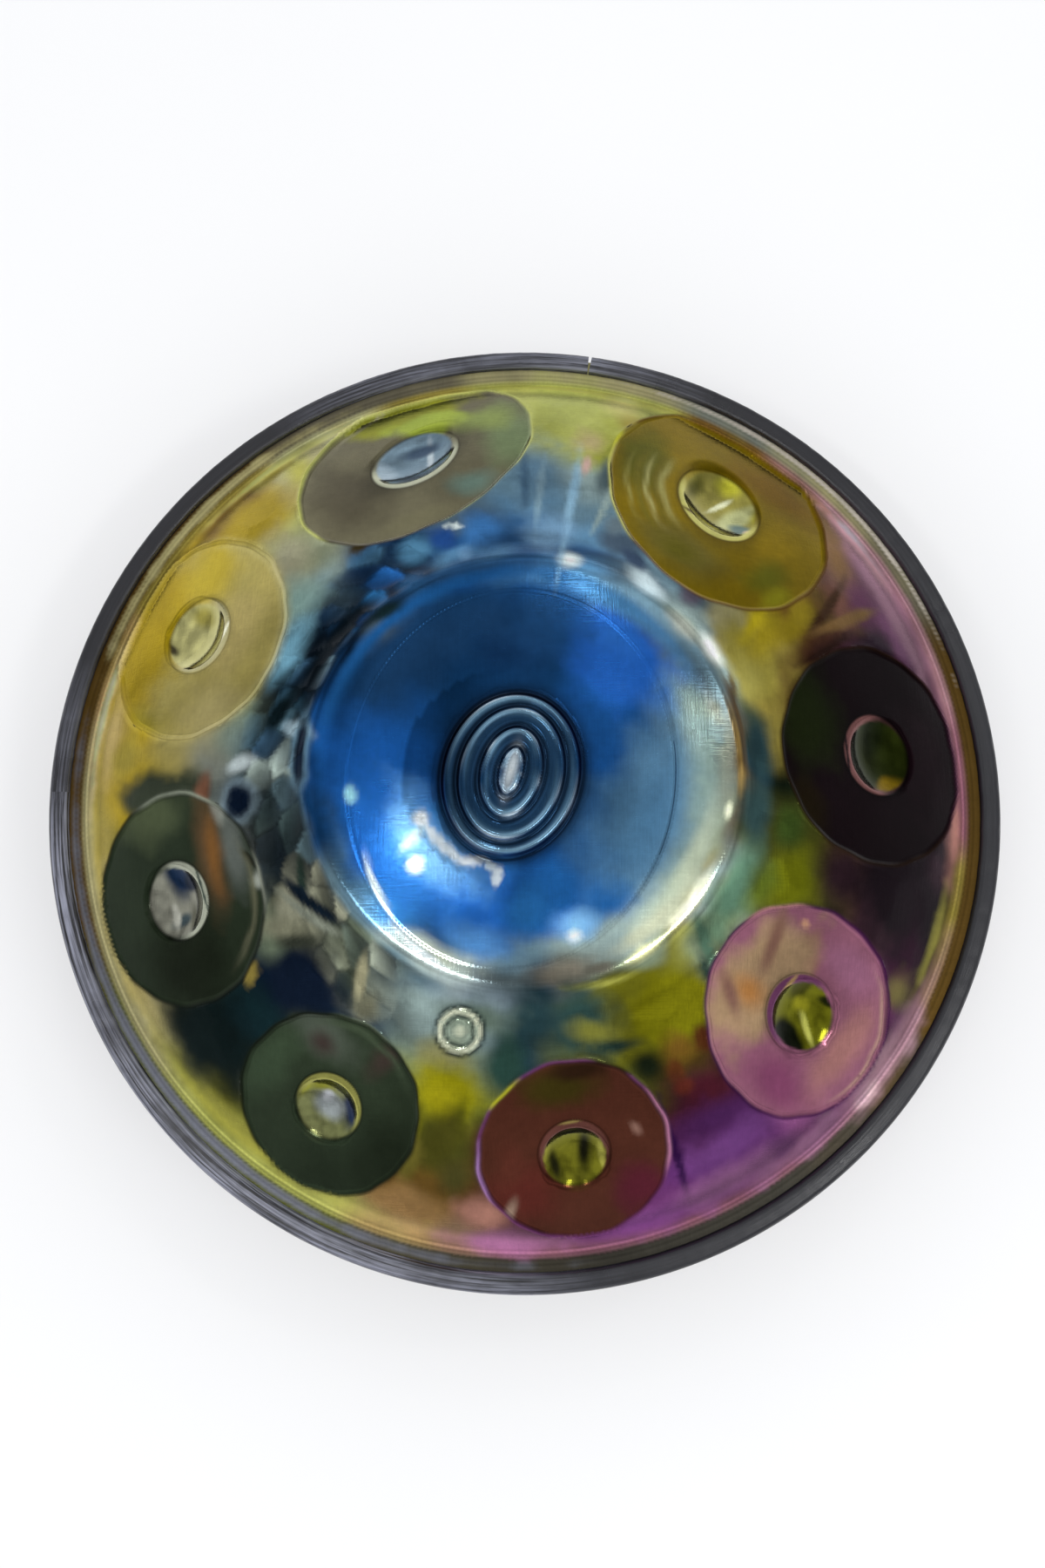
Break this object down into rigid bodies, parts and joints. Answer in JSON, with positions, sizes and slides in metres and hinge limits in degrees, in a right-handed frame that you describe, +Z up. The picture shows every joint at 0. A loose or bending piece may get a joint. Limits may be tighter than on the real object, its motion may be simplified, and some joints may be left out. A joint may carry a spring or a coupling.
{
  "type": "handpan",
  "caption": "Steel handpan: domed playing side with a stepped centre note and a ring of dimpled tone fields, bowl-shaped resonator with a bottom port, rubber edge trim.",
  "frame": {"origin": "on the ground plane, at the centre of the flat ring that the instrument rests on", "axes": "+Z up along the instrument's axis through the centre of both shells, +Y away from the player between the two lowest notes, +X to the player's right"},
  "size_m": [0.555, 0.555, 0.2169],
  "materials": {
    "playing_steel": "polished drawn steel with a rainbow heat-tint coat, blue in the middle, gold, violet and green outside",
    "resonator_steel": "polished drawn steel with the same tinted coat, gold to violet",
    "adhesive": "cured structural adhesive, dark grey",
    "trim_rubber": "smooth black rubber with a soft shine",
    "core_steel": "plain spring steel strip, hidden"
  },
  "bodies": {
    "root": {"top_shell": "playing_steel", "bottom_shell": "resonator_steel", "flange_bond": "adhesive", "edge_trim": "trim_rubber", "trim_core": "core_steel"}
  },
  "joints": []
}
